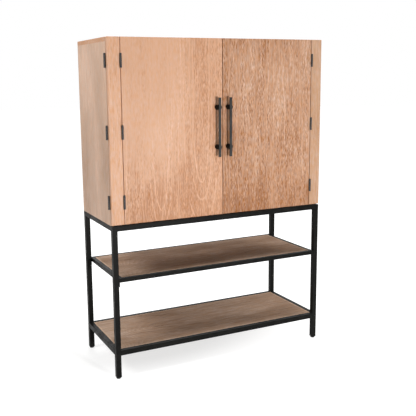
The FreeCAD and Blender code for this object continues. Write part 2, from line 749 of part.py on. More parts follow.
ease = size("edge_easing")
grip = size("handle_easing")
post_blank = turned(
    "handle_post_blank",
    [
        ("0", "0"),
        ("handle_post / 2", "0"),
        ("handle_post / 2", "post_long - handle_easing"),
        ("handle_post / 2 - handle_easing", "post_long"),
        ("0", "post_long"),
    ],
)
slot = board(
    "handle_post_slot",
    ("-handle_wide / 2 - post_fit", "-handle_post", "handle_projection - handle_deep - post_fit"),
    ("handle_wide / 2 + post_fit", "handle_post", "handle_projection"),
)
post_seat = Placement(Vector(0, 0, -size("door_board")), Rotation(RIGHT, 180))
post_bore = copies("handle_post_bore", handle_hole.Shape, [post_seat])
post = cut("handle_post_master", post_blank, slot, post_bore)
doc.recompute()
for hand, sign in (("left", -1), ("right", 1)):
    if sign < 0:
        fold_x = ("-side_x", "-fold_edge_x")
        door_x = ("-door_edge_x", "-centre_gap / 2")
        bar_x = ("-handle_inset - handle_wide / 2", "handle_wide / 2 - handle_inset")
        strike_x = ("-catch_x - catch_wide / 2", "catch_wide / 2 - catch_x")
    else:
        fold_x = ("fold_edge_x", "side_x")
        door_x = ("centre_gap / 2", "door_edge_x")
        bar_x = ("handle_inset - handle_wide / 2", "handle_inset + handle_wide / 2")
        strike_x = ("catch_x - catch_wide / 2", "catch_x + catch_wide / 2")
    outer = f"{hand}_outer"
    inner = f"{hand}_inner"
    fold_screws = line_screw_spots(outer, 1) + line_screw_spots(inner, -1)
    door_screws = line_screw_spots(inner, 1)
    knob_x = sign * size("handle_inset")
    post_heights = [place.handle_z + half * size("handle_spacing") / 2 for half in (-1, 1)]
    post_spots = []
    bolt_spots = []
    for up in post_heights:
        post_spots.append(Placement(Vector(knob_x, place.front_y, up), Rotation(RIGHT, 90)))
        bolt_spots.append(Placement(Vector(knob_x, place.door_back_y, up), Rotation(RIGHT, -90)))

    label = f"{hand}_fold_panel"
    high = (fold_x[1], "door_back_y", "cabinet_height")
    blank = board(label + "_blank", (fold_x[0], "front_y", "door_z"), high)
    smooth = eased(label + "_eased", blank, ease)
    keep(cut(label, smooth, copies(label + "_holes", hinge_hole.Shape, fold_screws)), label)
    for line, half in ((outer, swing_leaf), (inner, fixed_leaf)):
        leaves = f"{line}_hinge_panel_leaves"
        keep(copies(leaves, half, hinge_spots(line)), leaves)
    straight = [Placement(spot.Base, Rotation()) for spot in hinge_spots(inner)]
    keep(copies(f"{inner}_hinge_pins", pin, straight), f"{inner}_hinge_pins")
    keep(copies(label + "_screws", hinge_screw.Shape, fold_screws), label + "_screws")

    label = f"{hand}_door"
    high = (door_x[1], "door_back_y", "cabinet_height")
    blank = board(label + "_blank", (door_x[0], "front_y", "door_z"), high)
    smooth = eased(label + "_eased", blank, ease)
    hinge_holes = copies(label + "_hinge_holes", hinge_hole.Shape, door_screws)
    bolt_holes = copies(label + "_bolt_holes", handle_hole.Shape, bolt_spots)
    keep(cut(label, smooth, hinge_holes, bolt_holes), label)
    keep(copies(f"{inner}_hinge_door_leaves", swing_leaf, hinge_spots(inner)), f"{inner}_hinge_door_leaves")
    keep(copies(label + "_screws", hinge_screw.Shape, door_screws), label + "_screws")

    label = f"{hand}_handle_bar"
    low_z = "handle_z - handle_long / 2"
    high_z = "handle_z + handle_long / 2"
    high = (bar_x[1], "handle_back_y", high_z)
    blank = board(label + "_blank", (bar_x[0], "handle_front_y", low_z), high)
    keep(eased(label, blank, grip), label)
    keep(copies(f"{hand}_handle_posts", post.Shape, post_spots), f"{hand}_handle_posts")
    keep(copies(f"{hand}_handle_screws", handle_screw.Shape, bolt_spots), f"{hand}_handle_screws")
    strike = board(
        f"{hand}_strike_plate",
        (strike_x[0], "door_back_y", "ceiling_z - catch_tall"),
        (strike_x[1], "strike_y", "ceiling_z"),
    )
    keep(strike, f"{hand}_strike_plate")

# Check and write every piece

doc.recompute()
for item in doc.Objects:
    if "Invalid" in item.State or "Error" in item.State:
        raise RuntimeError(f"{item.Name} did not build: {item.State}")
os.makedirs("parts", exist_ok=True)
for piece in pieces:
    shape = piece.Shape
    if shape.isNull() or not shape.isValid():
        raise RuntimeError(f"{piece.Label} has no valid shape")
    shape.exportStep(f"parts/{piece.Label}.step")
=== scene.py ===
"""The looks of a bar armoire: a veneered cabinet with folding fronts on an open steel stand.

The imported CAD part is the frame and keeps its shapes. Each operator gives one group of nodes its
finish or adds small pieces that the solids leave out, and the last one sets floor, lamps and camera.
Lengths are metres in the frame's own axes: the front faces -Y and the floor is at zero.
"""

import math

import bmesh
import bpy
import numpy as np
from bpy.props import FloatProperty, FloatVectorProperty, PointerProperty
from mathutils import Matrix, Vector


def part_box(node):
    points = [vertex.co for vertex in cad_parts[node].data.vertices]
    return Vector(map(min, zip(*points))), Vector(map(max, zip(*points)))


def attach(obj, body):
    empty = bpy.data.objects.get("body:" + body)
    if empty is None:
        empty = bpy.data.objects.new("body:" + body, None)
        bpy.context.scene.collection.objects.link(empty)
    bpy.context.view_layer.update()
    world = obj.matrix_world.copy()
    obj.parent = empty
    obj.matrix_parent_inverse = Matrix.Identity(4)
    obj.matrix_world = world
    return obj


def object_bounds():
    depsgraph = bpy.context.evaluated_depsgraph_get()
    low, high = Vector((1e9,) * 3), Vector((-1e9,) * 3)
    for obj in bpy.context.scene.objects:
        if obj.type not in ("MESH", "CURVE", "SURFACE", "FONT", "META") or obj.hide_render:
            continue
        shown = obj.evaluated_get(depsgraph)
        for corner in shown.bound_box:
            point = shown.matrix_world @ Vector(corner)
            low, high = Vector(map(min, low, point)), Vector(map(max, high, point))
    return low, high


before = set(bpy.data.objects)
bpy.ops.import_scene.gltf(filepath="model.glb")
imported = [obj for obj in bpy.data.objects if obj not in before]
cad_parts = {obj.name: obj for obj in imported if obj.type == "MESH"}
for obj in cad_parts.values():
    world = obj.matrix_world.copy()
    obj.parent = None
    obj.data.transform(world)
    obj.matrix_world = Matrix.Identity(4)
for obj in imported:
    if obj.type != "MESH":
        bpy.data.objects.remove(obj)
cad_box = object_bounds()

bl_info = {
    "name": "Bar armoire finishes",
    "version": (1, 0, 0),
    "blender": (4, 5, 0),
    "location": "3D View > Sidebar > Armoire",
    "description": "Finishes, small pieces and a studio for the bar armoire",
    "category": "Object",
}

FULL_TURN = 2 * math.pi
QUARTER_TURN = math.pi / 2
SIDES = ("left", "right")
ENDS = ("front", "back")
WHITE = (1.0, 1.0, 1.0, 1.0)


# Values that a user would change


def paint(red, green, blue):
    """Linear colour with alpha of a swatch in display values from 0 to 255, by the sRGB curve."""
    swatch = np.array((red, green, blue)) / 255
    linear = np.where(swatch <= 0.04045, swatch / 12.92, ((swatch + 0.055) / 1.055) ** 2.4)
    return (*linear.tolist(), 1.0)


def colour(name, description, *swatch):
    """A colour property from a display swatch."""
    return FloatVectorProperty(
        name=name, description=description, default=paint(*swatch), size=4, min=0, max=1, subtype="COLOR"
    )


def distance(name, description, default):
    """A length property in metres."""
    return FloatProperty(name=name, description=description, default=default, unit="LENGTH", precision=4)


def place(name, description, *default):
    """A point, or a size on each axis, in the frame's axes."""
    return FloatVectorProperty(
        name=name, description=description, default=default, size=3, subtype="TRANSLATION", unit="LENGTH"
    )


def angle(name, description, degrees):
    """An angle property, typed in degrees."""
    return FloatProperty(
        name=name, description=description, default=math.radians(degrees), subtype="ANGLE", unit="ROTATION"
    )


def share(name, description, default):
    """A plain share of one."""
    return FloatProperty(name=name, description=description, default=default, min=0, soft_max=1)


class VeneerSettings(bpy.types.PropertyGroup):
    """Colours and figure of the boards."""

    ground: colour("Ground", "Ground colour of the top", 213, 165, 133)
    deep: colour("Deep", "Dark grain of the top, the left door and the left fold panel", 182, 126, 88)
    pale: colour("Pale", "Limed lines and pores of the veneer", 238, 200, 174)
    # The left door's and left fold panel's grounds are lighter than the right ones as a painted sheen
    left_ground: colour("Left ground", "Ground colour of the left door", 218, 170, 138)
    panel_ground: colour("Panel ground", "Ground colour of the left fold panel", 222, 173, 140)
    far_panel_ground: colour("Far panel ground", "Ground colour of the right fold panel", 198, 156, 125)
    right_ground: colour("Right ground", "Ground colour of the right door", 199, 153, 122)
    right_deep: colour("Right deep", "Dark grain of the right door and the right fold panel", 152, 100, 64)
    right_pale: colour("Right pale", "Limed pores of the right door and the right fold panel", 222, 186, 162)
    side_ground: colour("Side ground", "Ground colour of the sides", 212, 176, 150)
    side_deep: colour("Side deep", "Dark grain of the sides", 186, 148, 122)
    inside_ground: colour("Inside ground", "Ground colour of the inside boards", 196, 154, 126)
    inside_deep: colour("Inside deep", "Dark grain of the inside boards", 168, 125, 95)
    shelf_ground: colour("Shelf ground", "Ground colour of the stand's shelves", 166, 138, 117)
    shelf_deep: colour("Shelf deep", "Dark grain of the stand's shelves", 130, 103, 82)
    shelf_pale: colour("Shelf pale", "Pale grain of the stand's shelves", 194, 168, 148)
    # Shelf edges: paler where worn, and lightened there as a painted highlight
    shelf_edge: colour("Shelf edge", "Worn and highlit edges of the stand's shelves", 224, 193, 166)
    shelf_rubbed: distance("Shelf rubbed", "Width of the shelves' rubbed edges", 0.012)
    leaf_width: distance("Leaf width", "Width of one leaf of veneer", 0.215)
    ring_width: distance("Ring width", "Spacing of the growth lines", 0.0365)
    relief: distance("Relief", "Depth of the open grain", 0.00025)


class MetalSettings(bpy.types.PropertyGroup):
    """Colours of the steel, the handles and the fittings."""

    steel: colour("Steel", "Black coat of the stand", 11, 11, 10)
    steel_worn: colour("Steel worn", "Lighter patches in the black coat", 25, 24, 22)
    hinge: colour("Hinge", "Black of the hinges and their screws", 28, 27, 26)
    hinge_worn: colour("Hinge worn", "Lighter patches on the hinges", 46, 43, 41)
    bar: colour("Handle bar", "Brushed grey of the handle bars", 34, 34, 33)
    bar_light: colour("Handle bar light", "Bright lines in the brushed bars", 62, 61, 60)
    post: colour("Handle post", "Black of the handle posts", 2, 2, 2)
    plated: colour("Plated", "Plated catches, pegs and inside screws", 190, 188, 184)
    plated_light: colour("Plated light", "Bright lines in the plating", 222, 220, 216)
    plastic: colour("Plastic", "Black of glides and bumpers", 24, 24, 24)
    plastic_light: colour("Plastic light", "Scuffs on glides and bumpers", 44, 44, 43)
    coat_relief: distance("Coat relief", "Depth of the coat's fine texture", 0.0001)


class WeldSettings(bpy.types.PropertyGroup):
    """The fillet welds of the stand."""

    leg_size: distance("Leg", "Reach of a bead along each of the two tubes", 0.0028)
    pitch: distance("Pitch", "Spacing of the bead's ripples", 0.0022)
    ripple: share("Ripple", "Height of the ripples, as a share of the bead", 0.12)
    inset: distance("Inset", "How far a bead stops short of a tube's rounded edge", 0.0015)


class BumperSettings(bpy.types.PropertyGroup):
    """The pads that the doors close on."""

    radius: distance("Radius", "Radius of a pad", 0.004)
    tall: distance("Tall", "Height of a pad", 0.0022)
    inset: distance("Inset", "Distance from the door's meeting edge to a pad's middle", 0.02)


class StudioSettings(bpy.types.PropertyGroup):
    """Camera, lamps and floor."""

    camera: place("Camera", "Where the camera stands", -1.561, -3.086, 1.422)
    yaw: angle("Yaw", "How far the camera looks to the right of straight in", 25.57)
    pitch: angle("Pitch", "How far the camera looks down", 9.4)
    roll: angle("Roll", "How far the camera leans", 0.68)
    lens: FloatProperty(
        name="Lens", description="Focal length on a 36 mm sensor", default=57.9, unit="CAMERA"
    )
    shift: share("Shift", "Share of the frame that the picture is cut to the right and below", 0.045)
    floor_radius: distance("Floor", "Radius of the floor", 30.0)
    floor_colour: colour("Floor colour", "Matt pale floor", 170, 170, 169)
    floor_shade: place("Floor shade", "Middle of the part of the floor that is left darker", -0.3, 0.2, 0.0)
    floor_shade_size: place("Floor shade size", "Half the length of that part on each axis", 1.05, 0.55, 1.0)
    floor_lift: share("Floor lift", "White that the camera sees added to the darker part of the floor", 0.68)
    ambient: share("Ambient", "Even light from all round", 0.17)
    front_lamp: share("Front lamp", "Share of white that the front lamp gives the doors", 0.76)
    left_lamp: share("Left lamp", "Share of white that the left lamp gives the left side", 0.72)
    right_lamp: share("Right lamp", "Share of white that the right lamp gives the right side", 0.45)
    back_lamp: share("Back lamp", "Share of white that the back lamp gives the back", 0.5)
    top_lamp: share("Top lamp", "Share of white that the top lamp gives the top", 0.3)


class ArmoireSettings(bpy.types.PropertyGroup):
    """All the values of this add-on."""

    veneer: PointerProperty(type=VeneerSettings)
    metal: PointerProperty(type=MetalSettings)
    weld: PointerProperty(type=WeldSettings)
    bumper: PointerProperty(type=BumperSettings)
    studio: PointerProperty(type=StudioSettings)


# Node wiring


# Noises that are drawn out along the grain: scale across it, scale along it, detail and roughness
GRAIN_NOISES = {
    "drift": (5.0, 1.6, 2.0, 0.5),
    "fray": (160.0, 7.0, 2.0, 0.5),
    "patch": (24.0, 3.0, 2.0, 0.5),
    "tone": (6.0, 2.2, 2.0, 0.5),
    "streak": (300.0, 12.0, 2.0, 0.6),
    "wear": (42.0, 2.5, 2.0, 0.5),
    "fleck": (430.0, 48.0, 1.0, 0.6),
    "fibre": (900.0, 14.0, 2.0, 0.5),
    "stain": (110.0, 30.0, 2.0, 0.5),
    "brush": (1800.0, 18.0, 3.0, 0.6),
}


class Wiring:
    """Adds nodes to one tree in a row and links them."""

    def __init__(self, tree):
        self.tree = tree

    def add(self, kind, inputs=None, **settings):
        """A node whose inputs are plain values, or sockets of other nodes to link from."""
        made = self.tree.nodes.new(kind)
        made.location.x = made.width * len(self.tree.nodes)
        for name, value in settings.items():
            setattr(made, name, value)
        for socket, value in (inputs or {}).items():
            if isinstance(value, bpy.types.NodeSocket):
                self.tree.links.new(value, made.inputs[socket])
            else:
                made.inputs[socket].default_value = value
        return made

    def math(self, operation, *terms):
        """One step of arithmetic on values."""
        return self.add("ShaderNodeMath", dict(enumerate(terms)), operation=operation).outputs[0]

    def vector_math(self, operation, *terms):
        """One step of arithmetic on vectors."""
        return self.add("ShaderNodeVectorMath", dict(enumerate(terms)), operation=operation).outputs[0]

    def axes(self, vector):
        """A vector's X, Y and Z."""
        return self.add("ShaderNodeSeparateXYZ", {0: vector}).outputs

    def noise(self, vector, detail, roughness, scale=1.0):
        """Cloudy noise from 0 to 1."""
        inputs = {"Vector": vector, "Scale": scale, "Detail": detail, "Roughness": roughness}
        return self.add("ShaderNodeTexNoise", inputs).outputs[0]

    def grain(self, vector, kind):
        """One of the grain noises, on a vector with Z along the grain."""
        across, along, detail, roughness = GRAIN_NOISES[kind]
        return self.noise(self.vector_math("MULTIPLY", vector, (across, across, along)), detail, roughness)

    def centred(self, value):
        """A value from 0 to 1, moved to lie about zero."""
        return self.math("SUBTRACT", value, 0.5)

    def spread(self, value, low, high, to_low=0.0, to_high=1.0):
        """A value eased from one range into another."""
        inputs = {"Value": value, "From Min": low, "From Max": high, "To Min": to_low, "To Max": to_high}
        return self.add("ShaderNodeMapRange", inputs, interpolation_type="SMOOTHSTEP").outputs[0]

    def bell(self, value, width):
        """1 where the value is zero, falling off to both sides: 1 / (1 + (value / width)^2)."""
        ratio = self.math("DIVIDE", value, width)
        return self.math("DIVIDE", 1.0, self.math("MULTIPLY_ADD", ratio, ratio, 1.0))

    def apart(self, vector, middle, size):
        """Distance of a vector from a middle, each axis as a share of a size."""
        shares = self.vector_math("DIVIDE", self.vector_math("SUBTRACT", vector, middle), size)
        return self.add("ShaderNodeVectorMath", {0: shares}, operation="LENGTH").outputs["Value"]

    def blend(self, factor, first, second):
        """Two colours mixed by a factor, through the numbered colour sockets of the Mix node."""
        return self.add("ShaderNodeMix", {0: factor, 6: first, 7: second}, data_type="RGBA").outputs[2]


def cleared(owner):
    """Wiring for a material or world, with its first nodes taken out."""
    owner.use_nodes = True
    owner.node_tree.nodes.clear()
    return Wiring(owner.node_tree)


# Shader node groups


# A size for an axis on which an area of a board has no end
ENDLESS = 100.0

FINISH_OUTPUTS = {"Color": tuple, "Roughness": float, "Height": float}
VENEER_INPUTS = {
    "Vector": Vector(),
    "Leaf Width": 0.2, "Heart": 0.0, "Stagger": 0.045, "Waver": 0.03, "Reach": 0.2, "Ring Width": 0.01,
    "Figure Start": 0.0, "Figure Height": 0.11, "Taper": 0.5, "Oval": 0.0, "Depth": 0.003,
    "Ground": WHITE, "Deep": WHITE, "Pale": WHITE,
    "Tone": 0.5, "Lines": 0.5, "Streaks": 0.5, "Flecks": 0.3, "Stain": 0.6, "Base Roughness": 0.5,
    "Painted Shade": 0.0, "Shade Middle": Vector(), "Shade Size": Vector((1.0, 1.0, 1.0)),
    "Calm": 1.0, "Calm Middle": Vector(), "Calm Size": Vector((1.0, 1.0, 1.0)),
}

# Growth lines: how far the second line lies from the first and how far lines fray, in rings
LINE_GAP = 0.29
LINE_FRAY = 0.08

# Growth lines: the width over which one fades and their reach from the heart line, in metres
LINE_WIDTH = 0.0048
LINE_REACH = 0.11

# Growth lines: strength of the second line, and the least slope that a width is worked out from
SECOND_LINE = 0.6
LEAST_SLOPE = 0.02

# Shares of their sizes over which the painted shade and the calm areas of a board ease in
PAINTED_SHADE_START, PAINTED_SHADE_END = 0.3, 1.45
CALM_START, CALM_END = 0.65, 1.1

# Level of the grain at which a board is all deep below zero, or all pale above it
FULL_LEVEL = 0.5

# How much smoother streaks are than the ground, and how deep flecks are against the fibres
STREAK_POLISH = 0.1
FLECK_DEPTH = 0.5

# Worn edges with their painted highlight end at this many times their width, less what noise takes off
RAGGED_REACH = 1.5


def new_group(name, inputs, outputs):
    """An empty shader node group with named sockets: its wiring and its input sockets."""
    tree = bpy.data.node_groups.new(name, "ShaderNodeTree")
    kinds = {float: "NodeSocketFloat", tuple: "NodeSocketColor", Vector: "NodeSocketVector"}
    for socket, default in inputs.items():
        made = tree.interface.new_socket(socket, in_out="INPUT", socket_type=kinds[type(default)])
        made.default_value = default
    for socket, kind in outputs.items():
        tree.interface.new_socket(socket, in_out="OUTPUT", socket_type=kinds[kind])
    net = Wiring(tree)
    return net, net.add("NodeGroupInput").outputs


def ring_figure(net, given):
    """Ring number on the leaves of veneer, its slope, and the distance across from the leaf's heart line.

    Ring number = (sqrt(across^2 + depth^2) - depth - climb * fade) / ring width. At rise above the start of
    the figure, climb = taper * height * (1 - exp(-rise / height)) - oval * rise^2. Fade falls off across the
    leaf, so that the figure runs out into straight grain. Slope is the length of the gradient of the ring
    number times ring width, with fade held still.
    """
    axes = net.axes(given["Vector"])
    wander = net.math("MULTIPLY", net.centred(net.grain(given["Vector"], "drift")), given["Waver"])
    offset = net.math("ADD", net.math("SUBTRACT", axes["X"], given["Heart"]), wander)
    leaves = net.math("ADD", net.math("DIVIDE", offset, given["Leaf Width"]), 0.5)
    across = net.math("MULTIPLY", net.centred(net.math("FRACT", leaves)), given["Leaf Width"])
    start = net.math("MULTIPLY_ADD", net.math("FLOOR", leaves), given["Stagger"], given["Figure Start"])
    rise = net.math("SUBTRACT", axes["Z"], start)
    fade = net.bell(across, given["Reach"])

    fall = net.math("EXPONENT", net.math("DIVIDE", net.math("MULTIPLY", rise, -1.0), given["Figure Height"]))
    steep = net.math("MULTIPLY", given["Taper"], given["Figure Height"])
    arch = net.math("MULTIPLY", steep, net.math("SUBTRACT", 1.0, fall))
    bow = net.math("MULTIPLY", given["Oval"], net.math("MULTIPLY", rise, rise))
    climb = net.math("MULTIPLY", net.math("SUBTRACT", arch, bow), fade)
    depth_squared = net.math("MULTIPLY", given["Depth"], given["Depth"])
    arc = net.math("SQRT", net.math("ADD", net.math("MULTIPLY", across, across), depth_squared))
    width = net.math("SUBTRACT", arc, given["Depth"])
    ring = net.math("DIVIDE", net.math("SUBTRACT", width, climb), given["Ring Width"])

    bend = net.math("MULTIPLY", net.math("MULTIPLY", given["Oval"], 2.0), rise)
    pitch = net.math("MULTIPLY", net.math("SUBTRACT", net.math("MULTIPLY", given["Taper"], fall), bend), fade)
    lean = net.math("DIVIDE", across, arc)
    slope = net.math("SQRT", net.math("MULTIPLY_ADD", pitch, pitch, net.math("MULTIPLY", lean, lean)))
    return ring, slope, across


def growth_lines(net, given, ring, slope, across):
    """A pale line at each ring and a fainter one beside it, patchy, and weaker away from the heart line.

    Distance to a line in metres = distance in rings * ring width / slope, so the lines keep one width.
    """
    frayed = net.math("MULTIPLY_ADD", net.grain(given["Vector"], "fray"), LINE_FRAY, ring)
    scale = net.math("DIVIDE", given["Ring Width"], net.math("MAXIMUM", slope, LEAST_SLOPE))
    lines = []
    for turn in (0.0, LINE_GAP):
        rings = net.math("PINGPONG", net.math("SUBTRACT", frayed, turn), 0.5)
        away = net.math("MULTIPLY", rings, scale)
        lines.append(net.spread(away, low=0.0, high=LINE_WIDTH, to_low=1.0, to_high=0.0))
    pair = net.math("MAXIMUM", lines[0], net.math("MULTIPLY", lines[1], SECOND_LINE))
    patchy = net.spread(net.grain(given["Vector"], "patch"), low=0.3, high=0.6, to_low=0.25)
    near = net.bell(across, LINE_REACH)
    return net.math("MULTIPLY", pair, net.math("MULTIPLY", patchy, net.math("MULTIPLY", near, near)))


def veneer_group():
    """Sliced veneer, laid in leaves side by side, on a vector with X across the grain and Z along it.

    Growth lines, streaks and flecks lighten and darken a ground whose tone drifts. Calm weakens them inside
    an oval of the given middle and size, painted shade darkens the board outside another so that its middle
    reads as a painted sheen, and Stain sets how much the colour's strength varies. Streaks are smoother
    than the Base Roughness.
    """
    net, given = new_group("Veneer", VENEER_INPUTS, FINISH_OUTPUTS)
    vector = given["Vector"]
    line = growth_lines(net, given, *ring_figure(net, given))
    tone = net.spread(net.grain(vector, "tone"), low=0.25, high=0.75)
    streak = net.spread(net.grain(vector, "streak"), low=0.3, high=0.7)
    wear = net.spread(net.grain(vector, "wear"), low=0.35, high=0.62, to_low=0.3)
    speck = net.spread(net.grain(vector, "fleck"), low=0.35, high=0.65)
    fleck = net.math("MULTIPLY_ADD", net.centred(speck), wear, 0.5)

    grain = net.math("MULTIPLY", line, given["Lines"])
    for part, amount in ((streak, "Streaks"), (fleck, "Flecks")):
        grain = net.math("MULTIPLY_ADD", net.centred(part), given[amount], grain)
    calm_away = net.apart(vector, given["Calm Middle"], given["Calm Size"])
    marked = net.spread(calm_away, CALM_START, CALM_END, to_low=given["Calm"])
    # Painted shade: darker outside an oval, which leaves a painted sheen in its middle
    painted_shade_away = net.apart(vector, given["Shade Middle"], given["Shade Size"])
    painted_shaded = net.math("MULTIPLY", net.spread(painted_shade_away, PAINTED_SHADE_START, PAINTED_SHADE_END), given["Painted Shade"])
    toned = net.math("MULTIPLY", net.centred(tone), given["Tone"])
    level = net.math("SUBTRACT", net.math("MULTIPLY_ADD", grain, marked, toned), painted_shaded)

    dark = net.blend(net.spread(level, -FULL_LEVEL, 0.0), given["Deep"], given["Ground"])
    plain = net.blend(net.spread(level, 0.0, FULL_LEVEL), dark, given["Pale"])
    vivid = net.math("MULTIPLY_ADD", net.centred(net.grain(vector, "stain")), given["Stain"], 1.0)
    tinted = net.add("ShaderNodeHueSaturation", {"Saturation": vivid, "Color": plain}).outputs[0]
    rough = net.math("SUBTRACT", given["Base Roughness"], net.math("MULTIPLY", streak, STREAK_POLISH))
    height = net.math("SUBTRACT", net.grain(vector, "fibre"), net.math("MULTIPLY", fleck, FLECK_DEPTH))
    net.add("NodeGroupOutput", {"Color": tinted, "Roughness": rough, "Height": height})
    return net.tree


def coat_group():
    """A sprayed or moulded black skin: cloudy lighter patches over an even, finely pitted coat."""
    inputs = {"Vector": Vector(), "Base": WHITE, "Worn": WHITE, "Patch Scale": 14.0, "Grit Scale": 700.0}
    net, given = new_group("Coat", inputs, FINISH_OUTPUTS)
    clouds = net.noise(given["Vector"], detail=5.0, roughness=0.62, scale=given["Patch Scale"])
    patch = net.spread(clouds, low=0.38, high=0.68)
    tint = net.blend(patch, given["Base"], given["Worn"])
    rough = net.spread(patch, low=0.0, high=1.0, to_low=0.42, to_high=0.56)
    grit = net.noise(given["Vector"], detail=2.0, roughness=0.5, scale=given["Grit Scale"])
    net.add("NodeGroupOutput", {"Color": tint, "Roughness": rough, "Height": grit})
    return net.tree


def brushed_group():
    """Brushed metal: fine light and dark lines along Z of the vector."""
    inputs = {"Vector": Vector(), "Base": WHITE, "Light": WHITE}
    net, given = new_group("Brushed", inputs, FINISH_OUTPUTS)
    line = net.grain(given["Vector"], "brush")
    clouds = net.noise(given["Vector"], detail=3.0, roughness=0.5, scale=30.0)
    cloudy = net.spread(clouds, low=0.2, high=0.8, to_low=0.5)
    light = net.math("MULTIPLY", net.spread(line, low=0.3, high=0.75), cloudy)
    tint = net.blend(light, given["Base"], given["Light"])
    rough = net.spread(line, low=0.2, high=0.8, to_low=0.32, to_high=0.46)
    net.add("NodeGroupOutput", {"Color": tint, "Roughness": rough, "Height": line})
    return net.tree


def worn_highlit_rim_group():
    """Worn board edges with a painted highlight: 1 at the rim, easing to 0 over a width that noise breaks up.

    The distance to the rim is the least of half size - |vector - middle| over the axes.
    """
    inputs = {"Vector": Vector(), "Middle": Vector(), "Half Size": Vector(), "Width": 0.01}
    net, given = new_group("Worn and highlit edges", inputs, {"Mask": float})
    away = net.vector_math("ABSOLUTE", net.vector_math("SUBTRACT", given["Vector"], given["Middle"]))
    room = net.axes(net.vector_math("SUBTRACT", given["Half Size"], away))
    nearest = net.math("MINIMUM", net.math("MINIMUM", room["X"], room["Y"]), room["Z"])
    clouds = net.noise(given["Vector"], detail=3.0, roughness=0.6, scale=60.0)
    ragged = net.math("MULTIPLY_ADD", clouds, given["Width"], nearest)
    reach = net.math("MULTIPLY", given["Width"], RAGGED_REACH)
    mask = net.spread(ragged, low=0.0, high=reach, to_low=1.0, to_high=0.0)
    net.add("NodeGroupOutput", {"Mask": mask})
    return net.tree


GROUP_MAKERS = {
    "Veneer": veneer_group,
    "Coat": coat_group,
    "Brushed": brushed_group,
    "Worn and highlit edges": worn_highlit_rim_group,
}


def group_outputs(net, group, vector, values):
    """Outputs of a shader node group, made when it is first used, fed with a vector and plain values."""
    tree = bpy.data.node_groups.get(group) or GROUP_MAKERS[group]()
    return net.add("ShaderNodeGroup", {"Vector": vector, **values}, node_tree=tree).outputs


# Materials


# Axes of the frame that lie across, through and along the grain
UPRIGHT = "XYZ"
UPRIGHT_SIDE = "YXZ"
LENGTHWAYS = "YZX"
FRONT_TO_BACK = "XZY"

DULL = {"Specular IOR Level": 0.07}
VENEER_GLOSS = 0.2
OILED_GLOSS = 0.02


def finish_material(name, group, grain, relief, values, shader=None, rubbed=None):
    """A material in which Object coordinates, turned to lie with the grain, feed one group.

    Shader holds plain values for the Principled shader's own sockets. Rubbed, where given, is the colour of
    the worn edges with their painted highlight, and the values that place them.
    """
    material = bpy.data.materials.new(name)
    net = cleared(material)
    here = net.add("ShaderNodeTexCoord").outputs["Object"]
    axes = net.axes(here)
    turned = net.add("ShaderNodeCombineXYZ", {socket: axes[axis] for socket, axis in enumerate(grain)})
    look = group_outputs(net, group, turned.outputs[0], values)
    tint = look["Color"]
    # Paler edges: wear, and a painted highlight where light would catch them
    if rubbed:
        worn, edges = rubbed
        tint = net.blend(group_outputs(net, "Worn and highlit edges", here, edges)["Mask"], tint, worn)
    bump = net.add("ShaderNodeBump", {"Height": look["Height"], "Distance": relief}).outputs[0]
    skin = {"Base Color": tint, "Roughness": look["Roughness"], "Normal": bump}
    surface = net.add("ShaderNodeBsdfPrincipled", {**skin, **(shader or {})})
    net.add("ShaderNodeOutputMaterial", {"Surface": surface.outputs[0]})
    return material


def veneer(name, settings, figure, grain=UPRIGHT, gloss=VENEER_GLOSS, rubbed=None):
    """A veneer with the settings' own colours and sizes, but for the values in figure."""
    values = {
        "Leaf Width": settings.leaf_width, "Ring Width": settings.ring_width, "Ground": settings.ground,
        "Deep": settings.deep, "Pale": settings.pale, **figure,
    }
    shader = {"Specular IOR Level": gloss}
    return finish_material(name, "Veneer", grain, settings.relief, values, shader, rubbed)


def coat(name, settings, base, worn, patch_scale, shader=None):
    """A black coat with lighter patches."""
    values = {"Base": base, "Worn": worn, "Patch Scale": patch_scale}
    return finish_material(name, "Coat", UPRIGHT, settings.coat_relief, values, shader)


def brushed(name, settings, base, light, grain=UPRIGHT, metallic=1.0):
    """Bare or plated metal, brushed along the grain."""
    values = {"Base": base, "Light": light}
    return finish_material(name, "Brushed", grain, settings.coat_relief, values, {"Metallic": metallic})


def dress(material, slot, *nodes):
    """Give CAD nodes a material. Slot, the record's slot that it stands for, is not used."""
    for name in nodes:
        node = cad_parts[name]
        node.data.materials.clear()
        node.data.materials.append(material)


# Grid surfaces


MERGE_DISTANCE = 1e-6

# Powers that shape a weld bead: higher makes its ends blunter, or its face flatter
BEAD_END = 10
BEAD_FACE = 1.4


def new_object(name, data):
    """A new object in the scene."""
    made = bpy.data.objects.new(name, data)
    bpy.context.scene.collection.objects.link(made)
    return made


def grid_mesh(name, points, material):
    """A mesh of grids from points (piece, row, column, axis), whose columns close on themselves."""
    pieces, rows, columns = points.shape[:3]
    index = np.arange(pieces * rows * columns).reshape(pieces, rows, columns)
    after = np.roll(index, -1, axis=2)
    quads = np.stack((index[:, :-1], after[:, :-1], after[:, 1:], index[:, 1:]), axis=-1)
    mesh = bpy.data.meshes.new(name)
    mesh.from_pydata(points.reshape(-1, 3), [], quads.reshape(-1, 4))
    mesh.materials.append(material)
    return mesh


def grid_piece(name, points, material, body):
    """One piece from grids whose end rows are poles: merging the points at the poles closes them."""
    mesh = grid_mesh(name, points, material)
    shell = bmesh.new()
    shell.from_mesh(mesh)
    bmesh.ops.remove_doubles(shell, verts=shell.verts, dist=MERGE_DISTANCE)
    bmesh.ops.recalc_face_normals(shell, faces=shell.faces)
    shell.to_mesh(mesh)
    shell.free()
    mesh.shade_smooth()
    piece = new_object(name, mesh)
    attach(piece, body)


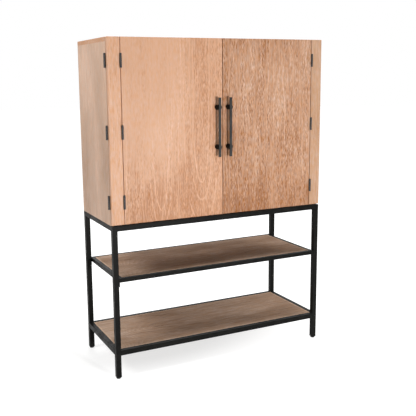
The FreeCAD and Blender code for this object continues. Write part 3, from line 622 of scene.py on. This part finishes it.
def weld_lines():
    """Every inside corner between a leg and a rail: (start, end, along the rail, up or down the leg).

    The lower rails are welded above and below, and the top rails below.
    """
    lines = []
    faces = (("lower", 1), ("lower", 0), ("top", 0))
    for side, across in zip(SIDES, (1, -1)):
        for end, inward in zip(ENDS, (1, -1)):
            low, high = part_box(f"leg_{end}_{side}")
            inner_x = high.x if across > 0 else low.x
            inner_y = high.y if inward > 0 else low.y
            for ring, upper in faces:
                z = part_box(f"{ring}_rail_front")[upper].z
                up = (0, 0, 1 if upper else -1)
                lines.append(((inner_x, low.y, z), (inner_x, high.y, z), (across, 0, 0), up))
                lines.append(((low.x, inner_y, z), (high.x, inner_y, z), (0, inward, 0), up))
    return np.array(lines, dtype=float)


def weld_beads(settings, rows=36, columns=10):
    """Fillet beads, rippled along their line and run down to a point at both ends.

    Section size = leg * (1 + ripple * cos(2 pi * along * length / pitch)) * sqrt(1 - |2 along - 1|^10), where
    along runs from 0 to 1. The face of the section lies cos(sweep)^1.4 along the rail and sin(sweep)^1.4
    along the leg, and the section's last point is the corner itself.
    """
    start, end, along_rail, along_leg = weld_lines().transpose(1, 0, 2)[:, :, None, None, :]
    length = np.linalg.norm(end - start, axis=-1, keepdims=True)
    run = (end - start) / length
    along = np.linspace(0, 1, rows)[None, :, None, None]
    line = start + run * (settings.inset + along * (length - 2 * settings.inset))
    swell = 1 + settings.ripple * np.cos(FULL_TURN * along * length / settings.pitch)
    size = settings.leg_size * swell * np.sqrt(np.clip(1 - np.abs(2 * along - 1) ** BEAD_END, 0, 1))
    sweep = np.linspace(0, QUARTER_TURN, columns - 1)
    out = np.append(np.cos(sweep) ** BEAD_FACE, 0.0)[None, None, :, None]
    up = np.append(np.sin(sweep) ** BEAD_FACE, 0.0)[None, None, :, None]
    return line + size * (out * along_rail + up * along_leg)


def bumper_pads(settings, side, rows=10, columns=24):
    """Two domed pads on a door's back: a quarter ellipse turned about Y, on a flat base on the door.

    One pad meets the edge of the top board and the other meets the edge of the bottom board.
    """
    low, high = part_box(f"{side}_door")
    edge = high.x - settings.inset if side == "left" else low.x + settings.inset
    top_low, top_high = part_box("top")
    heights = ((top_low.z + top_high.z) / 2, (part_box("bottom")[1].z + low.z) / 2)
    middles = np.array([(edge, high.y, z) for z in heights])[:, None, None, :]
    lift = np.linspace(0, QUARTER_TURN, rows - 1)
    radius = settings.radius * np.append(0.0, np.cos(lift))[:, None]
    height = settings.tall * np.append(0.0, np.sin(lift))[:, None]
    turn = np.linspace(0, FULL_TURN, columns, endpoint=False)[None, :]
    dome = np.stack((radius * np.cos(turn), height + 0 * turn, radius * np.sin(turn)), axis=-1)
    return middles + dome[None]


# Finishes of the CAD nodes


# Figures of the boards, as values of the veneer group
LEFT_DOOR_FIGURE = {
    "Heart": -0.116, "Figure Start": 0.909, "Figure Height": 0.15, "Taper": 0.1, "Depth": 0.07,
    "Stagger": 0.114, "Waver": 0.012, "Lines": 0.44, "Streaks": 0.28, "Flecks": 0.42, "Tone": 0.25,
    # Left door: painted shade round a painted sheen at the middle left; calm weakens the grain in that sheen
    "Painted Shade": 0.32, "Shade Middle": (-0.5, 0.0, 1.38), "Shade Size": (0.52, ENDLESS, 0.52), "Stain": 0.4,
    "Calm": 0.35, "Calm Middle": (-0.55, 0.0, 1.5), "Calm Size": (0.36, ENDLESS, 0.6),
}
RIGHT_DOOR_FIGURE = {
    "Heart": 0.327, "Figure Start": 1.158, "Taper": 0.0, "Oval": 0.1165, "Depth": 0.07,
    "Lines": 0.45, "Streaks": 0.45, "Flecks": 0.7, "Tone": 0.3,
    # Right door: painted shade darkens the corners round a lighter middle
    "Painted Shade": 0.42, "Shade Middle": (0.43, 0.0, 1.27), "Shade Size": (0.5, ENDLESS, 0.5), "Stain": 0.8,
    "Calm": 0.72, "Calm Middle": (0.25, 0.0, 0.75), "Calm Size": (0.5, ENDLESS, 0.25),
}
STRAIGHT_FIGURE = {"Taper": 0.02, "Lines": 0.15, "Flecks": 0.15, "Streaks": 0.3, "Tone": 0.3}


class ARMOIRE_OT_veneer_fronts(bpy.types.Operator):
    """Veneer the doors, the fold panels, the sides and the top"""

    bl_idname = "armoire.veneer_fronts"
    bl_label = "Veneer fronts"

    def execute(self, context):
        """Each door has its own figure; the panels, sides and top have straight grain."""
        settings = context.scene.armoire.veneer
        dark = {"Deep": settings.right_deep, "Pale": settings.right_pale}
        # The left door and left panel get lighter grounds than the right ones as a painted sheen
        left = {**LEFT_DOOR_FIGURE, "Ground": settings.left_ground}
        right = {**RIGHT_DOOR_FIGURE, **dark, "Ground": settings.right_ground}
        near = {**STRAIGHT_FIGURE, "Ground": settings.panel_ground}
        far = {**STRAIGHT_FIGURE, **dark, "Ground": settings.far_panel_ground}
        sides = {**STRAIGHT_FIGURE, "Ground": settings.side_ground, "Deep": settings.side_deep, "Tone": 0.7}
        top = {**STRAIGHT_FIGURE, "Base Roughness": 0.75}
        dress(veneer("Veneer left door", settings, left), "veneer_tan", "left_door")
        dress(veneer("Veneer right door", settings, right), "veneer_tan", "right_door")
        dress(veneer("Veneer left panel", settings, near), "veneer_tan", "left_fold_panel")
        dress(veneer("Veneer right panel", settings, far), "veneer_tan", "right_fold_panel")
        dress(veneer("Veneer sides", settings, sides, UPRIGHT_SIDE), "veneer_tan", "left_side", "right_side")
        dress(veneer("Veneer top", settings, top, LENGTHWAYS), "veneer_tan", "top")
        return {"FINISHED"}


class ARMOIRE_OT_veneer_inside(bpy.types.Operator):
    """Veneer the boards inside the cabinet"""

    bl_idname = "armoire.veneer_inside"
    bl_label = "Veneer inside"

    def execute(self, context):
        """Matt boards: back and divider stand upright, shelves run lengthways and rails front to back."""
        settings = context.scene.armoire.veneer
        colours = {"Ground": settings.inside_ground, "Deep": settings.inside_deep}
        inside = {**colours, "Lines": 0.25, "Base Roughness": 0.7}
        boards = ("bottom", "bar_shelf", "loose_shelf")
        dress(veneer("Inside back", settings, inside), "veneer_inside", "back")
        dress(veneer("Inside divider", settings, inside, UPRIGHT_SIDE), "veneer_inside", "divider")
        dress(veneer("Inside shelves", settings, inside, LENGTHWAYS), "veneer_inside", *boards)
        dress(veneer("Glass rails", settings, inside, FRONT_TO_BACK), "veneer_inside", "stemware_rails")
        return {"FINISHED"}


class ARMOIRE_OT_shelf_boards(bpy.types.Operator):
    """Oil the two shelves of the stand brown"""

    bl_idname = "armoire.shelf_boards"
    bl_label = "Shelf boards"

    def execute(self, context):
        """Brown boards with the grain along the stand, and paler worn edges with a painted highlight."""
        settings = context.scene.armoire.veneer
        oiled = {
            "Ground": settings.shelf_ground, "Deep": settings.shelf_deep, "Pale": settings.shelf_pale,
            "Lines": 0.3, "Taper": 0.04, "Flecks": 0.2, "Base Roughness": 0.75,
        }
        for board in ("middle_shelf_board", "lower_shelf_board"):
            low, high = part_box(board)
            half = (high - low) / 2
            size = {"Middle": (low + high) / 2, "Half Size": (half.x, half.y, ENDLESS)}
            edges = {**size, "Width": settings.shelf_rubbed}
            name = board.replace("_", " ").capitalize()
            oil = veneer(name, settings, oiled, LENGTHWAYS, OILED_GLOSS, (settings.shelf_edge, edges))
            dress(oil, "wood_brown", board)
        return {"FINISHED"}


class ARMOIRE_OT_steel_stand(bpy.types.Operator):
    """Coat the stand's tubes black"""

    bl_idname = "armoire.steel_stand"
    bl_label = "Steel stand"

    def execute(self, context):
        """One aged black coat on every tube, lug and tab."""
        settings = context.scene.armoire.metal
        colours = (settings.steel, settings.steel_worn)
        black = coat("Stand steel", settings, *colours, patch_scale=14.0, shader=DULL)
        legs = [f"leg_{end}_{side}" for end in ENDS for side in SIDES]
        rails = [f"{ring}_rail_{run}" for ring in ("top", "middle", "lower") for run in (*ENDS, *SIDES)]
        dress(black, "steel_black", *legs, *rails, "middle_shelf_lugs", "support_tabs")
        return {"FINISHED"}


class ARMOIRE_OT_weld_beads(bpy.types.Operator):
    """Lay the weld beads in the stand's inside corners"""

    bl_idname = "armoire.weld_beads"
    bl_label = "Weld beads"

    def execute(self, context):
        """All the beads are one piece of the cabinet's body."""
        points = weld_beads(context.scene.armoire.weld)
        grid_piece("weld_beads", points, bpy.data.materials["Stand steel"], "cabinet")
        return {"FINISHED"}


class ARMOIRE_OT_hinges(bpy.types.Operator):
    """Blacken the hinges and their screws"""

    bl_idname = "armoire.hinges"
    bl_label = "Hinges"

    def execute(self, context):
        """Leaves, pins and screws are one black, with lighter rubbed patches."""
        settings = context.scene.armoire.metal
        black = coat("Hinge black", settings, settings.hinge, settings.hinge_worn, patch_scale=60.0)
        leaves = ["outer_hinge_cabinet_leaves", "outer_hinge_pins"]
        screws = ["outer_hinge_cabinet_screws"]
        for side in SIDES:
            inner = f"{side}_inner_hinge"
            leaves += [f"{inner}_door_leaves", f"{inner}_panel_leaves", f"{inner}_pins"]
            leaves.append(f"{side}_outer_hinge_panel_leaves")
            screws += [f"{side}_door_screws", f"{side}_fold_panel_screws"]
        dress(black, "hinge_black", *leaves)
        dress(black, "screw_black", *screws)
        return {"FINISHED"}


class ARMOIRE_OT_handles(bpy.types.Operator):
    """Brush the handle bars grey and blacken their posts"""

    bl_idname = "armoire.handles"
    bl_label = "Handles"

    def execute(self, context):
        """The bars are brushed along their length; the posts have a plain black coat."""
        settings = context.scene.armoire.metal
        bar = brushed("Handle bar", settings, settings.bar, settings.bar_light, metallic=0.8)
        post = coat("Handle post", settings, settings.post, settings.steel, patch_scale=80.0, shader=DULL)
        screw = brushed("Handle screw", settings, settings.plated, settings.plated_light)
        for side in SIDES:
            dress(bar, "handle_grey", f"{side}_handle_bar")
            dress(post, "handle_black", f"{side}_handle_posts")
            dress(screw, "screw_steel", f"{side}_handle_screws")
        return {"FINISHED"}


class ARMOIRE_OT_fittings(bpy.types.Operator):
    """Finish the catches, pegs, tab screws and glides"""

    bl_idname = "armoire.fittings"
    bl_label = "Fittings"

    def execute(self, context):
        """Plated metal in the cabinet and under the boards, black plastic on the floor."""
        settings = context.scene.armoire.metal
        plated = brushed("Plated steel", settings, settings.plated, settings.plated_light, LENGTHWAYS)
        plates = [f"{side}_strike_plate" for side in SIDES]
        dress(plated, "bright_steel", "magnetic_catches", "shelf_pegs", *plates)
        dress(plated, "screw_steel", "tab_screws")
        plastic = coat("Glide plastic", settings, settings.plastic, settings.plastic_light, patch_scale=120.0)
        dress(plastic, "glide_plastic", "foot_glides")
        return {"FINISHED"}


class ARMOIRE_OT_door_bumpers(bpy.types.Operator):
    """Put the pads on the backs of the doors"""

    bl_idname = "armoire.door_bumpers"
    bl_label = "Door bumpers"

    def execute(self, context):
        """Two pads ride on each door."""
        plastic = bpy.data.materials["Glide plastic"]
        for side in SIDES:
            points = bumper_pads(context.scene.armoire.bumper, side)
            grid_piece(f"{side}_door_bumpers", points, plastic, f"{side}_door")
        return {"FINISHED"}


# Studio


# Width of the camera's sensor in millimetres
SENSOR_WIDTH = 36

# Share of the darker part of the floor, from its middle, that is all dark
FLOOR_NEAR = 0.4

# Each lamp's place from the point that it lights, and its width
LAMPS = {
    "front": ((0.25, -3.0, -0.4375), 0.2),
    "left": ((-3.0, -0.5, 2.8125), 1.6),
    "right": ((3.0, -0.5, 2.8125), 1.6),
    "back": ((0.5, 3.0, 2.2125), 1.6),
    "top": ((1.8, 0.0, 7.0), 4.0),
}


def seen_mask(net):
    """1 for rays that show the background: straight from the camera, or by gloss or glass."""
    path = net.add("ShaderNodeLightPath").outputs
    glossy = net.math("MAXIMUM", path["Is Camera Ray"], path["Is Glossy Ray"])
    return net.math("MAXIMUM", glossy, path["Is Transmission Ray"])


def studio_floor(settings, rows=12, columns=96):
    """A flat disc: x = r cos(a), y = r sin(a), in a matt colour that the camera sees lifted to white."""
    radius = np.linspace(0, settings.floor_radius, rows)[:, None]
    turn = np.linspace(FULL_TURN, 0, columns, endpoint=False)[None, :]
    points = np.stack((radius * np.cos(turn), radius * np.sin(turn), 0 * radius * turn), axis=-1)
    material = bpy.data.materials.new("Studio floor")
    net = cleared(material)
    matt = net.add("ShaderNodeBsdfDiffuse", {"Color": settings.floor_colour})
    here = net.add("ShaderNodeTexCoord").outputs["Object"]
    away = net.apart(here, settings.floor_shade, settings.floor_shade_size)
    glow = net.spread(away, low=FLOOR_NEAR, high=1.0, to_low=settings.floor_lift)
    lift = net.add("ShaderNodeEmission", {"Strength": net.math("MULTIPLY", seen_mask(net), glow)})
    both = net.add("ShaderNodeAddShader", {0: matt.outputs[0], 1: lift.outputs[0]})
    net.add("ShaderNodeOutputMaterial", {"Surface": both.outputs[0]})
    floor = new_object("studio_floor", grid_mesh("studio_floor", points[None], material))


def studio_world(settings):
    """Even light from all round, which the camera sees as white."""
    world = bpy.data.worlds.new("Studio")
    net = cleared(world)
    strength = net.math("MULTIPLY_ADD", seen_mask(net), 1 - settings.ambient, settings.ambient)
    sky = net.add("ShaderNodeBackground", {"Color": WHITE, "Strength": strength})
    net.add("ShaderNodeOutputWorld", {"Surface": sky.outputs[0]})
    bpy.context.scene.world = world


def soft_box(name, aim, offset, width, amount):
    """A square lamp at an offset from its aim, where a matt white board that faces it shows amount.

    Watts = amount * pi^2 * distance^2.
    """
    offset = Vector(offset)
    data = bpy.data.lights.new(name, "AREA")
    data.size = width
    data.energy = amount * math.pi**2 * offset.length_squared
    lamp = new_object(name, data)
    lamp.location = Vector(aim) + offset
    lamp.rotation_euler = (-offset).to_track_quat("-Z", "Y").to_euler()
    lamp.visible_camera = False


def studio_camera(settings):
    """A camera whose axes come from its yaw, pitch and roll, with the picture cut off centre."""
    yaw, pitch, roll = settings.yaw, settings.pitch, settings.roll
    forward = Vector((math.sin(yaw) * math.cos(pitch), math.cos(yaw) * math.cos(pitch), -math.sin(pitch)))
    level = Vector((math.cos(yaw), -math.sin(yaw), 0))
    down = forward.cross(level)
    right = level * math.cos(roll) + down * math.sin(roll)
    lower = down * math.cos(roll) - level * math.sin(roll)
    data = bpy.data.cameras.new("Camera")
    data.sensor_width = SENSOR_WIDTH
    data.lens = settings.lens
    data.shift_x = settings.shift
    data.shift_y = -settings.shift
    camera = new_object("Camera", data)
    turned = Matrix((right, -lower, -forward)).transposed().to_4x4()
    camera.matrix_world = Matrix.Translation(settings.camera) @ turned
    bpy.context.scene.camera = camera


class ARMOIRE_OT_studio(bpy.types.Operator):
    """Set up the floor, the lamps and the camera"""

    bl_idname = "armoire.studio"
    bl_label = "Studio"

    def execute(self, context):
        """A small lamp lights the doors, and wider ones the sides, the back and the top."""
        settings = context.scene.armoire.studio
        low, high = cad_box
        middle = (low + high) / 2
        level = sum(corner.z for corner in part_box("left_handle_bar")) / 2
        aims = {
            "front": (middle.x, low.y, level),
            "left": (low.x, middle.y, level),
            "right": (high.x, middle.y, level),
            "back": (middle.x, high.y, level),
            "top": (middle.x, middle.y, high.z),
        }
        for face, aim in aims.items():
            offset, width = LAMPS[face]
            soft_box(f"{face.title()} lamp", aim, offset, width, getattr(settings, f"{face}_lamp"))
        studio_floor(settings)
        studio_world(settings)
        studio_camera(settings)
        context.scene.view_settings.view_transform = "Standard"
        return {"FINISHED"}


class ARMOIRE_PT_sidebar(bpy.types.Panel):
    """Lists the armoire's operators and values"""

    bl_idname = "ARMOIRE_PT_sidebar"
    bl_label = "Bar armoire"
    bl_space_type = "VIEW_3D"
    bl_region_type = "UI"
    bl_category = "Armoire"

    def draw(self, context):
        """One button for each operator, then the values of each group."""
        for operator in OPERATORS:
            self.layout.operator(operator.bl_idname)
        for group in ArmoireSettings.__annotations__:
            values = getattr(context.scene.armoire, group)
            column = self.layout.column(heading=group.title())
            for name in values.__annotations__:
                column.prop(values, name)


OPERATORS = (
    ARMOIRE_OT_veneer_fronts,
    ARMOIRE_OT_veneer_inside,
    ARMOIRE_OT_shelf_boards,
    ARMOIRE_OT_steel_stand,
    ARMOIRE_OT_weld_beads,
    ARMOIRE_OT_hinges,
    ARMOIRE_OT_handles,
    ARMOIRE_OT_fittings,
    ARMOIRE_OT_door_bumpers,
    ARMOIRE_OT_studio,
)
SETTINGS = (VeneerSettings, MetalSettings, WeldSettings, BumperSettings, StudioSettings, ArmoireSettings)
CLASSES = (*SETTINGS, *OPERATORS, ARMOIRE_PT_sidebar)


def register():
    """Add the settings, operators and panel to Blender."""
    for made in CLASSES:
        bpy.utils.register_class(made)
    bpy.types.Scene.armoire = PointerProperty(type=ArmoireSettings)


def unregister():
    """Take them out again."""
    del bpy.types.Scene.armoire
    for made in reversed(CLASSES):
        bpy.utils.unregister_class(made)


def main():
    """Run every operator in order."""
    register()
    for operator in OPERATORS:
        family, action = operator.bl_idname.split(".")
        getattr(getattr(bpy.ops, family), action)()


if __name__ == "__main__":
    main()
